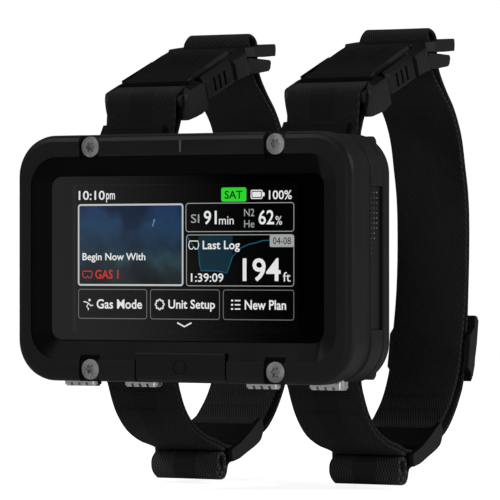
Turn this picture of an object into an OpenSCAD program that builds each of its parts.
// Wrist dive computer: slim rectangular case with a large recessed screen,
// four push buttons on the lower edge and two side-release webbing straps.
// Frame: +Z up, screen faces -Y, +X to the right of the screen,
// origin at the centre of the flat rear face. Units are millimetres.

/* [Case] */
// Overall width of the case
case_w = 119.4; // [100:0.1:130]
// Overall height of the case
case_h = 77.4; // [65:0.1:90]
// Depth from the rear face to the front rim
case_d = 30; // [24:0.1:36]
// Outer corner radius
corner_r = 13; // [10:0.5:18]
// Depth of the front bezel layer
bezel_d = 9; // [7:0.1:12]
// Depth of the thin band behind the bezel
band_d = 4.4; // [2:0.1:6]
// Depth of the rear layer that carries the lugs
rear_d = 8.3; // [6:0.1:10]

/* [Screen] */
// Width of the glass
lens_w = 97; // [80:0.1:104]
// Height of the glass
lens_h = 51.4; // [44:0.1:58]
// Glass corner radius
lens_r = 3.6; // [2:0.1:5]
// How far the glass sits below the front rim
lens_drop = 3; // [1:0.1:5]
// Glass thickness
lens_t = 1.7; // [1:0.1:2.5]
// Width of the dark slope between rim and glass
slope_w = 6; // [3:0.1:8]

/* [Fasteners] */
// Distance of the front screws from the centre line
screw_x = 33.1; // [25:0.1:45]
// Height of the front screws above the centre
screw_z = 34.9; // [33:0.1:36]
// Front screw head diameter
screw_head = 6.4; // [5:0.1:7]

/* [Buttons] */
// Width of each button
button_w = 11.9; // [8:0.1:14]
// Centre of the inner pair of buttons
button_in = 21.9; // [18:0.1:28]
// Centre of the outer pair of buttons
button_out = 44.2; // [36:0.1:46]

/* [Straps] */
// Webbing width
web_w = 25.4; // [20:0.1:30]
// Webbing thickness
web_t = 1.5; // [1:0.1:2]
// Distance of each strap from the centre line
strap_x = 33; // [28:0.1:36]
// Lug pin diameter
pin_d = 2.5; // [2:0.1:3]

/* [Buckles] */
// Width of the side-release buckle body
buckle_w = 32.8; // [31:0.1:36]
// Tilt of the buckle axis
buckle_tilt = 20; // [10:1:30]
// Length of the female half
female_l = 40; // [34:0.5:46]

/* [Hidden] */
$fn = 96;

// Rounded rectangles are [width, height, corner radius]
case_size = [case_w, case_h, corner_r];
rear_size = case_size - [0.4, 0.6, 0.3];
glass = [lens_w, lens_h, lens_r];
fit = [0.3, 0.3, 0.15];          // clearance round an inset part
window = [88, 48, 2];            // opening behind the glass
relief = [100, 58, 6];           // recess in the back of the bezel
panel = [87.6, 47.6, 1.5];
cover = [100, 58, 8];
half_w = case_w/2;
half_h = case_h/2;

// Layer planes from front to rear
y_front = -case_d;
y_seat = y_front + 2.6;          // under the front screw heads
y_glass = y_front + lens_drop;
y_glass_back = y_glass + lens_t;
y_panel_back = y_glass_back + 2;
y_band = y_front + bezel_d;
y_body = y_band + band_d;
y_board = -18;                   // rear face of the main board
y_rear = -rear_d;
gasket_t = 0.4;

// Seal grooves as outer and inner rounded rectangles
case_groove = [[110.6, 66.2, 10.3], [108.2, 63.8, 9.1]];
cover_groove = [[94.6, 52.6, 7], [92.6, 50.6, 6.4]];
seal_gap = [0.2, 0.2, 0.1];

badge_half = 15.9;
badge_depth = 1.6;
mark_depth = 0.4;
lug_in = 13.2;                   // lug ear faces, from the strap centre
lug_out = 17.9;
sensor_y = -12.4;
sensor_z = 10;

// Buttons and contacts
button_xs = [-button_out, -button_in, button_in, button_out];
button_y = -15;
button_size = [button_w, 5, 1.5];
clip_z = -30.6;
clip_t = 0.5;
clip_bore = 1.6;
switch_y = -17.4;
switch_d = 4.8;
switch_z = -27.1;                // top of the pads, bottom of the strip
contact_xs = [-6, 0, 6];
contact_y = -14.8;
contact_size = [29, 6, 1];
charge_xs = [-4, 0, 4];
charge_z = 20.5;

// Strap and buckle places, as [y, z]
pin_y = 1.4;
pin_z = 35.2;
upper_pin = [pin_y, pin_z];
lower_pin = [pin_y, -pin_z];
pin_fold_r = pin_d/2 + 0.05;     // inside of the strap round a lug pin
buckle_origin = [3, 48.5];
flat_bar = [[2.74, 0.81], [7.4, 0.81]]; // ends of the bar section, in the buckle frame
flat_bar_r = 2.2;
flat_fold_r = 2.3;
ladder_bar = [54.0, 68.8];       // bar of the male half
ladder_fold = [54.0, 71.1];      // crown of the strap fold over that bar
ladder_fold_r = 1.85;
front_bar = [38.4, -63.9];       // bars of the lower adjuster
rear_bar = [56.0, -57.2];
adjuster_bar_d = 3.2;
adjuster_fold_r = 1.65;
strap_roll = [33.2, -67.7];      // rolled end of the lower strap
roll_step = 1.1;
slot_half = 13.1;                // half width of the buckle strap slots
buckle_half = buckle_w/2;

// ---------- helpers ----------
// Each span extrudes a profile between two planes: span_x takes [y, z],
// span_y takes [x, z] and span_z takes [x, y]
module span_x(x0, x1) {
  translate([x0, 0, 0]) rotate([90, 0, 90]) linear_extrude(height = x1 - x0) children();
}
module span_y(y0, y1) {
  translate([0, y1, 0]) rotate([90, 0, 0]) linear_extrude(height = y1 - y0) children();
}
module span_z(z0, z1) {
  translate([0, 0, z0]) linear_extrude(height = z1 - z0) children();
}
module rod_x(d, x0, x1) {
  translate([x0, 0, 0]) rotate([0, 90, 0]) cylinder(d = d, h = x1 - x0);
}
module rod_y(d, y0, y1) {
  translate([0, y1, 0]) rotate([90, 0, 0]) cylinder(d = d, h = y1 - y0);
}
// rod across a strap, centred on a [y, z] point
module cross_bar(at, d, half) {
  translate([0, at[0], at[1]]) rod_x(d, -half, half);
}
module at_four(x, z) {
  for (i = [-1, 1], j = [-1, 1]) translate([i*x, 0, j*z]) children();
}
module round_rect(size) {
  width = size[0];
  height = size[1];
  r = size[2];
  square([width - 2*r, height], center = true);
  square([width, height - 2*r], center = true);
  for (i = [-1, 1], j = [-1, 1]) translate([i*(width/2 - r), j*(height/2 - r)]) circle(r);
}
module ring(outer, inner) {
  difference() {
    round_rect(outer);
    round_rect(inner);
  }
}
// rounded block whose edge follows a list of [inset, y] points
module pillow(size, edge) {
  half_x = size[0]/2;
  half_z = size[1]/2;
  r = size[2];
  y0 = edge[0][1];
  y1 = edge[len(edge) - 1][1];
  corners = [[1, 1], [-1, 1], [-1, -1], [1, -1]];
  // full-height middle
  span_x(r - half_x, half_x - r) polygon(concat(
    [for (p = edge) [p[1], half_z - p[0]]],
    [for (p = reversed(edge)) [p[1], p[0] - half_z]]));
  // two sides
  for (turn = [0, 180]) rotate([0, turn, 0]) span_z(r - half_z, half_z - r)
    polygon(concat([for (p = edge) [half_x - p[0], p[1]]], [[half_x - r, y1], [half_x - r, y0]]));
  // four turned corners
  for (k = [0:3]) translate([corners[k][0]*(half_x - r), 0, corners[k][1]*(half_z - r)])
    rotate([90, 0, 0]) rotate([0, 0, k*90]) rotate_extrude(angle = 90)
      polygon(concat([for (p = edge) [r - p[0], -p[1]]], [[0, -y1], [0, -y0]]));
}

// Catmull-Rom curve from b to c
function catmull(a, b, c, d, t) =
  0.5*((2*b) + (c - a)*t + (2*a - 5*b + 4*c - d)*t*t + (3*b - a - 3*c + d)*t*t*t);
// smooth line through the points, with n steps between neighbours
function spline(points, n) = let (last = len(points) - 1) [
  for (i = [0:last - 1]) for (k = [0:n - 1])
    catmull(points[max(i - 1, 0)], points[i], points[i + 1], points[min(i + 2, last)], k/n),
  points[last]];
function reversed(list) = [for (i = [len(list) - 1:-1:0]) list[i]];
function normal(line, i) =
  let (step = line[min(i + 1, len(line) - 1)] - line[max(i - 1, 0)])
  [-step[1], step[0]]/norm(step);
function shifted(line, gap) = [for (i = [0:len(line) - 1]) line[i] + gap*normal(line, i)];
// corners of a straight strip from a to b
function strip(a, b, half) =
  let (dir = (b - a)/norm(b - a), n = [-dir[1], dir[0]]*half)
  [a + n, b + n, b - n, a - n];
module ribbon(line, half) {
  polygon(concat(shifted(line, half), reversed(shifted(line, -half))));
}
module capsule(a, b, r) {
  translate(a) circle(r);
  translate(b) circle(r);
  polygon(strip(a, b, r));
}

// ---------- colours used by several parts ----------
seal_red = [0.35, 0.12, 0.1];
board_green = [0.05, 0.25, 0.12];
contact_gold = [0.85, 0.7, 0.3];
web_grey = [0.16, 0.16, 0.17];

// ---------- case ----------
module mark_outline() {
  translate([-0.35, 32.9]) square([0.7, 3.8]);
}
module front_bezel() color([0.09, 0.09, 0.095]) difference() {
  pocket_d = screw_head + 0.9;
  pillow(case_size, [[2.1, y_front], [1.0, y_front + 0.3], [0.3, y_front + 1.0],
    [0, y_front + 2.2], [0, y_band - 0.5], [0.5, y_band]]);
  // sloped recess down to the glass
  pillow(glass + [2*slope_w, 2*slope_w + 0.4, slope_w],
    [[0, y_front - 1], [0, y_front + 0.5], [slope_w - 0.1, y_glass + 0.2]]);
  span_y(y_glass, y_glass_back + gasket_t) round_rect(glass + fit);
  span_y(y_glass_back, y_band + 1) round_rect(window);
  // relief behind the ledge
  span_y(y_band - 1.2, y_band + 1) round_rect(relief);
  // screw pockets, open towards the upper and lower edges
  for (i = [-1, 1], j = [-1, 1]) translate([i*screw_x, 0, j*screw_z]) {
    rod_y(pocket_d, y_front - 1, y_seat);
    translate([-pocket_d/2, y_front - 1, j > 0 ? 0 : -6]) cube([pocket_d, 3.6, 6]);
    rod_y(3.3, y_front, y_band + 1);
  }
  // tab steps that run from each screw pocket into the slope
  for (i = [-1, 1], z = [30.2, -35.2])
    translate([i*screw_x - 3.5, y_front - 1, z]) cube([7, 2.2, 5]);
  // badge pocket and centre mark
  span_y(y_front - 1, y_front + badge_depth) translate([-badge_half - 0.5, -half_h - 1])
    square([2*badge_half + 1, half_h + 1 - 28.9]);
  span_y(y_front - 1, y_front + mark_depth) mark_outline();
}
module badge_plate() color([0.12, 0.12, 0.125]) difference() {
  span_x(-badge_half, badge_half) polygon([[y_front + badge_depth, -29.4],
    [y_front + 0.25, -29.4], [y_front + 0.02, -29.7], [y_front + 0.02, -half_h + 2.2],
    [y_front + 0.5, -half_h + 1.0], [y_front + badge_depth, -half_h + 0.2]]);
  // shallow ring, a plain decorative mark
  translate([0, 0, -33.9]) difference() {
    rod_y(5, y_front - 1, y_front + 0.3);
    rod_y(3.8, y_front - 1, y_front + 0.3);
  }
}
module centre_mark() color([0.75, 0.76, 0.77])
  span_y(y_front + 0.02, y_front + mark_depth) mark_outline();
module bezel_screws() color([0.5, 0.5, 0.51]) at_four(screw_x, screw_z) difference() {
  union() {
    rod_y(screw_head, y_front + 0.9, y_seat);
    rod_y(3, y_seat, y_rear + 3);
  }
  // six-lobed socket
  span_y(y_front, y_front + 2.1) union() {
    circle(1.15);
    for (a = [0:60:300]) rotate(a) translate([1.25, 0]) circle(0.42);
  }
}
module lens() color([0.03, 0.03, 0.035]) span_y(y_glass, y_glass_back) round_rect(glass);
module lens_gasket() color([0.15, 0.15, 0.15])
  span_y(y_glass_back, y_glass_back + gasket_t) ring(glass, window + [0.6, 0.4, 0.2]);
module display_panel() color([0.05, 0.06, 0.1])
  span_y(y_glass_back, y_panel_back) round_rect(panel);
module backlight() color([0.9, 0.9, 0.88])
  span_y(y_panel_back, y_panel_back + 1.2) round_rect(panel - [0.8, 0.8, 0]);
module display_frame() color([0.6, 0.61, 0.62]) difference() {
  span_y(y_band - 1, y_band - 0.2) round_rect(relief - [0.6, 0.6, 0.4]);
  span_y(y_band - 2, y_band + 1) union() {
    for (i = [-1, 1]) translate([30*i, 0]) round_rect([20, 26, 2]);
    translate([0, -18]) round_rect([24, 8, 2]);
  }
}

module seal_groove(y) {
  span_y(y - 1, y + 0.8) ring(case_groove[0], case_groove[1]);
}
module at_buttons() {
  for (x = button_xs) translate([x, button_y, 0]) children();
}
module mid_case() color([0.13, 0.13, 0.135]) difference() {
  union() {
    pillow(case_size - [1.4, 1.4, 0.7], [[0.2, y_band], [0, y_band + 0.3], [0, y_body]]);
    pillow(rear_size, [[0.6, y_body], [0, y_body + 0.6], [0, y_rear - 0.5], [0.5, y_rear]]);
  }
  span_y(y_band - 1, y_rear + 1) round_rect([106, 61.6, 8]);
  at_four(screw_x, screw_z) rod_y(3.1, y_band - 1, y_rear + 1);
  // side slots for the grille and the blank plate
  for (i = [-1, 1]) translate([i*half_w - 2.1, y_body + 0.5, -22]) cube([4.2, 7.3, 44]);
  // pressure port behind the grille
  translate([0, sensor_y, sensor_z]) rod_x(3.06, 50, 62);
  // button pockets and stem bores
  at_buttons() {
    span_z(-40, -34.6) round_rect(button_size + [0.3, 0.3, 0.1]);
    translate([0, 0, -35]) cylinder(d = 2.3, h = 6);
  }
  // pocket for the contact block, and its pin bores
  translate([0, contact_y, 0]) span_z(-40, -37.0) round_rect(contact_size + [0.4, 0.4, 0.2]);
  for (x = contact_xs) translate([x, contact_y, -37.5]) cylinder(d = 1.9, h = 8);
  seal_groove(y_band);
}
module case_seals() color(seal_red) for (y = [y_band + 0.05, y_rear + 0.05])
  span_y(y, y + 0.7) ring(case_groove[0] - seal_gap, case_groove[1] + seal_gap);
module side_insert(x) {
  translate([x, y_body + 0.6, -21.9]) cube([1.0, 7.1, 43.8]);
}
module sensor_grille() color([0.1, 0.1, 0.1]) difference() {
  holes = [13, 10, 8];           // in each column, front to rear
  side_insert(half_w - 2.05);
  for (c = [0:2]) for (k = [0:holes[c] - 1])
    translate([0, y_body + 2.2 + c*1.9, 20 - k*1.55]) rod_x(0.8, 55, 60);
  translate([0, sensor_y, sensor_z]) rod_x(2.2, 55, half_w - 1.5);
}
module side_plate() color([0.1, 0.1, 0.1]) side_insert(1.05 - half_w);

module lug_ear(x0, x1) {
  span_x(x0, x1) union() {
    translate(upper_pin) circle(2.6);
    polygon([[-7, 31.6], upper_pin - [0, 2.6], upper_pin + [2.6, 0], upper_pin + [1.0, 2.4],
      [-1.4, 37.3], [-4.2, 37.1], [-7, 35.4]]);
  }
}
module lug_pins(d, half) {
  for (side = [-1, 1], z = [-pin_z, pin_z])
    translate([0, pin_y, z]) rod_x(d, side*strap_x - half, side*strap_x + half);
}
module at_rear_screws() {
  for (p = [[47.2, 24.4], [23, 27.2]]) at_four(p[0], p[1]) children();
}
module rear_case() color([0.12, 0.12, 0.125]) difference() {
  union() {
    // shell, notched where each strap end wraps its pin
    difference() {
      pillow(rear_size, [[0.5, y_rear], [0, y_rear + 0.5], [0, -4.2], [2.6, -1.6], [4.4, -0.5]]);
      for (side = [-1, 1], z = [31.4, -45.4])
        translate([side*strap_x - lug_in, -2.2, z]) cube([2*lug_in, 4, 14]);
    }
    for (side = [-1, 1], flip = [0, 1]) mirror([0, 0, flip]) {
      lug_ear(side*strap_x + lug_in, side*strap_x + lug_out);
      lug_ear(side*strap_x - lug_out, side*strap_x - lug_in);
    }
  }
  // stepped opening for the cover
  span_y(-3, 6) round_rect(cover + fit);
  span_y(y_rear - 1, 0) round_rect([90, 48, 6]);
  span_y(y_rear - 1, -5.2) round_rect([97, 56, 8]);
  seal_groove(y_rear);
  at_four(screw_x, screw_z) rod_y(3.06, y_rear - 1, y_rear + 3.2);
  lug_pins(pin_d + 0.06, 17);
  at_rear_screws() rod_y(1.9, y_rear - 1, 0);
  // seal land of the cover
  span_y(-3.9, -2.9) ring(cover_groove[0], cover_groove[1]);
}
module rear_cover() color([0.14, 0.14, 0.145]) difference() {
  pillow(cover, [[0, -3], [0, -0.5], [0.5, 0]]);
  at_rear_screws() {
    rod_y(1.96, -4, 1);
    rod_y(2.9, -1.3, 1);
  }
  span_y(-3.1, -2.2) round_rect([72.4, 44.4, 3]);
  for (x = charge_xs) translate([x, 0, charge_z]) rod_y(2.06, -2.3, 1);
}
module cover_seal() color(seal_red)
  span_y(-3.85, -3.02) ring(cover_groove[0] - seal_gap, cover_groove[1] + seal_gap);
module rear_screws() color([0.55, 0.55, 0.56]) at_rear_screws() difference() {
  union() {
    rod_y(2.8, -1.3, -0.3);
    rod_y(1.86, -6, -1.3);
  }
  span_y(-0.9, 1) circle(d = 1.5, $fn = 6);
}
module strap_pins() color([0.7, 0.7, 0.71]) lug_pins(pin_d, 16.8);

// ---------- electronics ----------
module at_board_screws() {
  at_four(46, 22) children();
}
module main_board() color(board_green) difference() {
  span_y(y_board - 1.2, y_board) round_rect([103, 54, 6]);
  at_board_screws() rod_y(2.6, -20, -17);
  span_y(-20, -17) translate([44, -2]) round_rect([9, 10, 1]);
}
module board_screws() color([0.7, 0.7, 0.7]) at_board_screws() union() {
  rod_y(4.2, y_board, y_board + 1);
  rod_y(2.4, -19.9, y_board);
}
// rows are [x, z, width, height]
module shield_cans() color([0.7, 0.71, 0.72])
  for (can = [[-28, 10, 22, 18], [0, 10, 18, 20], [-30, -12, 16, 12]])
    span_y(y_board, y_board + 1.8) translate([can[0], can[1]]) round_rect([can[2], can[3], 1]);
module battery_tray() color([0.2, 0.2, 0.21]) difference() {
  span_y(-15.8, -4.0) round_rect([80, 46, 3]);
  span_y(-14.6, -3) round_rect([76.4, 42.4, 2]);
}
module battery_pack() color([0.25, 0.3, 0.55]) span_y(-14.6, -5.0) round_rect([76, 42, 4.5]);
module vibration_motor() color([0.72, 0.72, 0.73])
  translate([46.5, 0, -10]) rod_y(8, -17.6, -14.4);
module buzzer() color([0.1, 0.1, 0.1]) translate([-46.4, 0, 4]) difference() {
  rod_y(10, -17.6, -13.8);
  rod_y(1.6, -14.6, -13);
}
module pressure_sensor() color([0.75, 0.75, 0.76]) translate([0, sensor_y, sensor_z]) union() {
  rod_x(3.0, 51, half_w - 2.15);
  rod_x(7.2, 47.4, 51);
}
module gnss_antenna() color([0.82, 0.78, 0.66])
  span_y(-17.9, -14.4) translate([-46.5, 13]) round_rect([8, 5, 0.6]);
module display_flex() color([0.75, 0.45, 0.15]) span_x(-9, 9) polygon([[-21.2, -19.6],
  [-21.0, -19.6], [-21.0, -19.4], [-19.3, -19.4], [-19.3, -14.2], [-19.5, -14.2],
  [-19.5, -19.2], [-21.2, -19.2]]);
module charge_contacts() color(contact_gold)
  for (x = charge_xs) translate([x, 0, charge_z]) rod_y(2.0, -2.2, -0.05);

// ---------- lower edge: buttons and contact block ----------
module contact_block() color([0.62, 0.63, 0.64]) difference() {
  translate([0, contact_y, 0]) span_z(-39.0, -37.0) round_rect(contact_size);
  for (x = contact_xs) translate([x, contact_y, -40]) cylinder(d = 1.86, h = 6);
}
module contact_pins() color(contact_gold)
  for (x = contact_xs) translate([x, contact_y, -39.1]) cylinder(d = 1.8, h = 9.6);
module button_cap(x) color([0.85, 0.85, 0.86]) translate([x, button_y, 0]) difference() {
  union() {
    span_z(-40.1, -37.4) round_rect(button_size);
    span_z(-40.6, -40.1) round_rect(button_size - [0.9, 0.9, 0.4]);
    translate([0, 0, -37.4]) cylinder(d = 2.2, h = 7.8);
  }
  // three grip grooves
  for (k = [-1:1]) translate([k*2.75 - 0.45, -4, -41]) cube([0.9, 8, 1.5]);
  // clip groove round the stem
  translate([0, 0, clip_z]) difference() {
    cylinder(d = 3, h = clip_t);
    translate([0, 0, -0.1]) cylinder(d = clip_bore, h = 1);
  }
}
module button_clip(x) color([0.4, 0.4, 0.42]) translate([x, button_y, clip_z]) difference() {
  cylinder(d = 4.4, h = clip_t);
  translate([0, 0, -1]) cylinder(d = clip_bore, h = 3);
}
// part of a ring twisted into three turns
module button_springs() color([0.6, 0.6, 0.62]) at_buttons() translate([0, 0, -37.35])
  linear_extrude(height = 2.7, twist = -1080, slices = 45, segments = 10)
    polygon(concat([for (a = [0:40:160]) 1.95*[cos(a), sin(a)]],
      [for (a = [160:-40:0]) 1.5*[cos(a), sin(a)]]));
module switch_pads() color([0.3, 0.3, 0.32])
  for (x = button_xs) translate([x - 2.5, switch_y, switch_z - 1.6]) cube([5, switch_d, 1.6]);
module switch_strip() color(board_green)
  translate([-48, switch_y, switch_z]) cube([96, switch_d, 1.0]);
module button_1() button_cap(button_xs[0]);
module button_2() button_cap(button_xs[1]);
module button_3() button_cap(button_xs[2]);
module button_4() button_cap(button_xs[3]);
module button_clip_1() button_clip(button_xs[0]);
module button_clip_2() button_clip(button_xs[1]);
module button_clip_3() button_clip(button_xs[2]);
module button_clip_4() button_clip(button_xs[3]);

// ---------- straps ----------
// In this section and the next, side is -1 for the left strap and 1 for the right.
// Strap paths are [y, z].
// inner face of the back strap, lower adjuster to buckle
inner_path = spline([[57.3, -54.6], [60.6, -52.0], [67.4, -45.3], [72.9, -35.4], [75.8, -26.5],
  [77.2, -13.5], [78.0, 0], [78.0, 12.2], [77.2, 20.8], [75.3, 28.8], [72.7, 38.4],
  [68.0, 46.4], [61.0, 52.6], [55.2, 57.4], [51.6, 62.2], [50.75, 66.4]], 4);
// outer face of the back strap
outer_path = spline([[58.4, -58.6], [61.8, -57.6], [65.6, -55.3], [69.6, -51.6], [73.6, -46.6],
  [76.9, -40.5], [79.0, -28], [80.2, -13.7], [81.05, 0], [81.1, 12.5], [80.3, 21.4],
  [78.3, 29.9], [75.5, 40.0], [70.1, 48.6], [64.0, 54.6], [59.6, 59.6], [57.5, 63.6],
  [57.25, 66.4]], 4);
// line between the two plies where the keeper passes
gap_path = spline([[78.9, -9.5], [78.3, -16], [77.9, -22], [77.0, -28], [75.8, -34],
  [74.2, -40], [72.6, -43.6]], 4);
// middle of the lower strap, case lug to adjuster
lower_path = spline([lower_pin, [4.3, -42.5], [8.4, -49.3], [14.6, -54.8], [22.6, -58.4],
  [29.8, -60.2], [37.2, -62.6]], 5);

// [y, z] of a point given in the buckle frame
function from_buckle(p) = buckle_origin
  + p[0]*[cos(buckle_tilt), sin(buckle_tilt)] + p[1]*[-sin(buckle_tilt), cos(buckle_tilt)];
module in_buckle() {
  translate([0, buckle_origin[0], buckle_origin[1]]) rotate([buckle_tilt, 0, 0]) children();
}
module at_strap(side) {
  translate([side*strap_x, 0, 0]) children();
}
module web_span(side) {
  span_x(side*strap_x - web_w/2, side*strap_x + web_w/2) children();
}
module upper_web(side) color(web_grey) web_span(side) {
  bar_a = from_buckle(flat_bar[0]);
  bar_b = from_buckle(flat_bar[1]);
  difference() {
    union() {
      translate(upper_pin) circle(pin_fold_r + web_t);
      capsule(bar_a, bar_b, flat_fold_r + web_t);
      polygon(strip(upper_pin, bar_a, web_t));
    }
    translate(upper_pin) circle(pin_fold_r);
    capsule(bar_a, bar_b, flat_fold_r);
  }
}
module roll_outline(r) {
  for (j = [-1, 1]) translate(strap_roll + [0, j*roll_step]) circle(r);
  translate(strap_roll - [r, roll_step]) square([2*r, 2*roll_step]);
}
module lower_web(side) color(web_grey) web_span(side) difference() {
  union() {
    translate(lower_pin) circle(pin_fold_r + web_t);
    translate(front_bar) circle(adjuster_fold_r + web_t);
    ribbon(lower_path, web_t);
    // rolled and sewn end hanging below the adjuster
    roll_outline(3.6);
    polygon([[33.6, -61.5], [38.0, -61.5], [38.0, -66.6], [35.4, -67.6], [33.6, -64]]);
  }
  translate(lower_pin) circle(pin_fold_r);
  translate(front_bar) circle(adjuster_fold_r);
  roll_outline(1.7);
}
module back_web(side) color(web_grey) web_span(side) difference() {
  union() {
    translate(rear_bar) circle(adjuster_fold_r + web_t);
    translate(ladder_fold) circle(ladder_fold_r + web_t);
    polygon(concat(inner_path, reversed(outer_path)));
    // joins to the two folds
    polygon([[50.68, 71.0], [57.32, 71.0], [57.25, 66], [50.75, 66]]);
    polygon([rear_bar + [-1.6, 2.7], [57.3, -54.4], [58.6, -58.7], rear_bar + [1.2, -2.9]]);
  }
  translate(rear_bar) circle(adjuster_fold_r);
  translate(ladder_fold) circle(ladder_fold_r);
  polygon([[52.15, 71.1], [55.85, 71.1], [55.85, 68.4], [52.15, 68.4]]);
  translate([54.0, 68.4]) circle(1.86);
  ribbon(gap_path, 0.55);
}
module strap_tab(side) color([0.08, 0.08, 0.08]) at_strap(side) difference() {
  union() {
    span_y(-0.7, 0.5) polygon([[-14.2, 38.3], [9.2, 38.3], [9.7, 42.7], [-12.4, 42.7]]);
    span_y(-4.0, 0.5) polygon([[-13.6, 38.3], [9.4, 38.3], [9.6, 39.0], [-13.4, 39.0]]);
  }
  span_y(-1, -0.55) translate([-10.8, 40.1]) square([18, 1.2]);
}
module upper_webbing() for (side = [-1, 1]) upper_web(side);
module lower_webbing() for (side = [-1, 1]) lower_web(side);
module back_webbing_l() back_web(-1);
module back_webbing_r() back_web(1);
module strap_tabs() for (side = [-1, 1]) strap_tab(side);

// ---------- buckles, drawn in the buckle frame with y along the axis ----------
module side_window(i) {
  span_z(-9, 9) polygon([for (p = [[buckle_half + 1, 13.2], [12.6, 13.2], [11.0, 14.4],
    [10.8, 16.4], [12.5, 31.2], [12.5, 33.2], [buckle_half + 1, 33.2]]) [i*p[0], p[1]]]);
}
// envelope with sloped upper edges; lift raises its top, shoulder sets the bend
module crown(lift = 0, shoulder = 5.2) {
  w = buckle_half;
  span_y(-4, 60) polygon([[-w, -8], [-w, 2.4 + lift], [-w + 0.9, 3.5 + lift],
    [-w + 4.5, shoulder + lift], [-w + 5.3, 6.8 + lift], [w - 5.3, 6.8 + lift],
    [w - 4.5, shoulder + lift], [w - 0.9, 3.5 + lift], [w, 2.4 + lift], [w, -8]]);
}
// side outline of the female half at the strap end, [x beyond the half width, y]
horn = [[-1.4, 17.9], [0, 16.8], [0, 9.0], [-0.35, 5.6], [-0.95, 3.0], [-1.7, 1.4], [-2.5, 0.3]];
module female_half(side) color([0.1, 0.1, 0.105]) at_strap(side) in_buckle() {
  difference() {
    intersection() {
      span_x(-buckle_half, buckle_half) polygon([[0.4, -4.4], [0.8, -2.2], [2.0, 0.4],
        [3.8, 2.6], [6.4, 4.3], [9.6, 5.1], [14, 5.5], [27.2, 6.0], [36, 6.15],
        [female_l, 6.0], [female_l, -3.2], [29, -3.0], [20, -3.7], [14.6, -4.7],
        [8.8, -5.5], [1.8, -5.4], [0.8, -5.1]]);
      span_z(-10, 10) union() {
        translate([0, 20.95]) square([buckle_w, 23.9], center = true);
        translate([0, 36]) square([24.8, 8.2], center = true);
        polygon([for (i = [-1, 1]) for (p = i < 0 ? horn : reversed(horn))
          [i*(buckle_half + p[0]), p[1]]]);
      }
      crown(0, 4.85);
    }
    // strap mouth round the flat bar
    span_x(-slot_half, slot_half) polygon([[-3, 8], [-3, -8], [12.1, -8], [12.1, 1.8],
      [11.0, 3.3], [10.7, 8]]);
    // latch cavity, open at the rear and at both sides
    span_z(-2.6, 3.0) translate([-buckle_half - 1, 13.2]) square([buckle_w + 2, female_l]);
    for (i = [-1, 1]) side_window(i);
    // relief slits and sight holes in the top plate
    for (i = [-1, 1]) span_z(4.9, 8) translate([i*4.8 - 0.24, 26]) square([0.48, 12.4]);
    for (i = [-1, 1]) span_z(2.8, 8) polygon([[i*3.4, 27.6], [i*3.4, 30.2], [i*1.9, 28.6]]);
  }
  // guide ribs and strap bar
  for (i = [-1, 1]) span_z(-2.7, 3.1) translate([i*5.9 - 0.7, 12.8]) square([1.4, 24.7]);
  span_x(-13.6, 13.6) capsule(flat_bar[0], flat_bar[1], flat_bar_r);
}
knuckle = [10.4, 43.6];          // centre of the arm root, buckle frame [x, y]
module male_half(side) color([0.11, 0.11, 0.115]) at_strap(side) {
  difference() {
    union() {
      // head that meets the female half
      in_buckle() intersection() {
        union() {
          span_x(-16.3, 16.3) polygon([[40.4, -3.0], [40.4, 5.9], [42.6, 5.7], [44.4, 5.0],
            [45.4, 3.9], [45.8, 2.6], [45.8, -4.4], [43, -3.4]]);
          for (i = [-1, 1]) span_x(i*14.5 - 1.8, i*14.5 + 1.8)
            polygon([[35.0, -2.6], [35.0, 4.6], [35.8, 5.5], [41, 5.8], [41, -3.0]]);
        }
        crown(0.3);
        span_z(-10, 10) polygon([[-16.3, 34], [-16.3, 42], [-15.8, 44.2], [-14.4, 45.8],
          [14.4, 45.8], [15.8, 44.2], [16.3, 42], [16.3, 34]]);
      }
      // upper and lower tail plates
      intersection() {
        span_x(-16.2, 16.2) polygon([[45, 66.0], [44.6, 69.0], [47, 69.3], [55, 70.3],
          [61.8, 71.0], [63.2, 70.5], [63.6, 68.9], [62.9, 67.1], [55, 66.4]]);
        span_z(60, 75) polygon([[-14.2, 44], [-14.8, 45.4], [-16.2, 48.6], [-16.2, 62],
          [-15.6, 64], [15.6, 64], [16.2, 62], [16.2, 48.6], [14.8, 45.4], [14.2, 44]]);
      }
      span_x(-15.8, 15.8) polygon([[44.6, 60.9], [44.6, 65.6], [52, 65.7], [59.4, 65.6],
        [60.2, 64.8], [59.7, 62.8], [58.6, 61.9], [52, 61.0], [48, 60.6]]);
      // centre tongue
      in_buckle() {
        span_z(-1.9, 2.3) translate([-4.4, 18]) square([8.8, 23.5]);
        span_z(-1.9, 2.3) translate([0, 18.4]) circle(r = 4.4);
      }
    }
    // slot of the ladder lock
    span_x(-slot_half, slot_half)
      polygon([[50.2, 58], [50.2, 75], [57.8, 75], [57.8, 64], [60.6, 58]]);
    // arm knuckle pockets
    in_buckle() for (i = [-1, 1]) span_z(-2.4, 2.8) union() {
      translate([i*knuckle[0], knuckle[1]]) circle(d = 5.4);
      translate([i*knuckle[0] - 2.7, 39]) square([5.4, 4.6]);
    }
  }
  cross_bar(ladder_bar, 2.9, 13.6);
}
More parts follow.
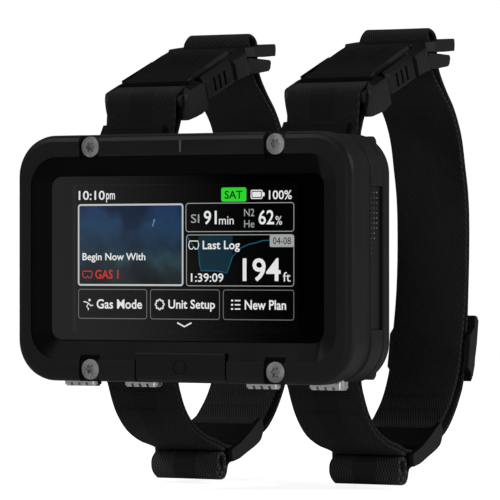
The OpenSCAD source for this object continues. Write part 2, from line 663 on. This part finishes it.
// outlines of an arm and its raised outer pad, [x, y] on the +X side
arm_outline = [[9.3, 44.4], [9.2, 41], [9.4, 31], [10.4, 27], [10.8, 16], [12.0, 14.0],
  [14.2, 13.9], [15.8, 15.6], [16.2, 19], [16.2, 31.6], [15.7, 33.9], [12.5, 34.0],
  [12.1, 41], [11.5, 44.4]];
pad_outline = [[14.0, 14.7], [15.0, 14.5], [15.7, 15.8], [16.1, 19], [16.1, 31.6],
  [15.6, 33.6], [14.0, 33.6]];
module arm(side, i) color([0.09, 0.09, 0.095]) at_strap(side) in_buckle() difference() {
  union() {
    span_z(-2.2, 2.6) union() {
      translate([i*knuckle[0], knuckle[1]]) circle(d = 5.2);
      polygon([for (p = arm_outline) [i*p[0], p[1]]]);
    }
    intersection() {
      span_z(-2.5, 5.6) polygon([for (p = pad_outline) [i*p[0], p[1]]]);
      crown(0.7);
    }
  }
  // grip notches
  for (k = [0:2]) translate([i*16.2 - 1.15, 19.6 + k*3.5, -1.5]) cube([2.3, 1.3, 4.6]);
}
module adjuster(side) color([0.11, 0.11, 0.115]) at_strap(side) {
  top = spline([[35.9, -62.4], [39.6, -61.2], [42.8, -59.9], [48, -57.2], [53.6, -54.0],
    [56.0, -52.9]], 4);
  bottom = spline([[36.2, -66.4], [40.8, -65.6], [46.0, -63.8], [51.8, -61.8],
    [55.6, -59.8], [57.4, -56.2]], 4);
  // front and rear strap slots, then the hollow between them
  slots = [[[34, -60], [43.0, -59], [42.4, -68.6], [34, -69]],
    [[52.2, -50], [61, -50], [61, -64], [52.8, -64]],
    [[42, -63.4], [46.6, -62.0], [53.0, -59.4], [54, -66], [42, -69]]];
  difference() {
    span_x(-14.6, 14.6) polygon(concat(top, reversed(bottom)));
    for (slot = slots) span_x(-13.0, 13.0) polygon(slot);
  }
  for (bar = [front_bar, rear_bar]) cross_bar(bar, adjuster_bar_d, 13.4);
}
module keeper(side) color([0.1, 0.1, 0.105]) at_strap(side) {
  // outer plate, two side walls and the tongue between the plies
  span_x(-14.8, 14.8) polygon([[80.7, -18.8], [82.2, -19.2], [83.2, -20.6], [82.0, -28],
    [80.2, -34.6], [78.4, -39.4], [77.4, -40.3], [77.3, -39.8], [78.7, -35], [79.8, -28],
    [80.5, -21]]);
  for (i = [-1, 1]) span_x(i*13.85 - 0.95, i*13.85 + 0.95) polygon([[80.6, -22.4],
    [81.4, -23], [80.4, -35], [79.0, -38.6], [75.4, -35.8], [76.6, -30], [77.3, -25]]);
  span_x(-13.4, 13.4) ribbon([for (i = [11:18]) gap_path[i]], 0.33);
}
module buckle_female_l() female_half(-1);
module buckle_female_r() female_half(1);
module buckle_male_l() male_half(-1);
module buckle_male_r() male_half(1);
module release_arm_l1() arm(-1, -1);
module release_arm_l2() arm(-1, 1);
module release_arm_r1() arm(1, -1);
module release_arm_r2() arm(1, 1);
module adjuster_l() adjuster(-1);
module adjuster_r() adjuster(1);
module keeper_l() keeper(-1);
module keeper_r() keeper(1);

front_bezel();
badge_plate();
centre_mark();
bezel_screws();
lens();
lens_gasket();
display_panel();
backlight();
display_frame();
mid_case();
case_seals();
sensor_grille();
side_plate();
rear_case();
rear_cover();
cover_seal();
rear_screws();
strap_pins();
main_board();
board_screws();
shield_cans();
battery_tray();
battery_pack();
vibration_motor();
buzzer();
pressure_sensor();
gnss_antenna();
display_flex();
charge_contacts();
contact_block();
contact_pins();
switch_pads();
switch_strip();
button_1();
button_2();
button_3();
button_4();
button_clip_1();
button_clip_2();
button_clip_3();
button_clip_4();
button_springs();
upper_webbing();
lower_webbing();
back_webbing_l();
back_webbing_r();
strap_tabs();
buckle_female_l();
buckle_female_r();
buckle_male_l();
buckle_male_r();
release_arm_l1();
release_arm_l2();
release_arm_r1();
release_arm_r2();
adjuster_l();
adjuster_r();
keeper_l();
keeper_r();
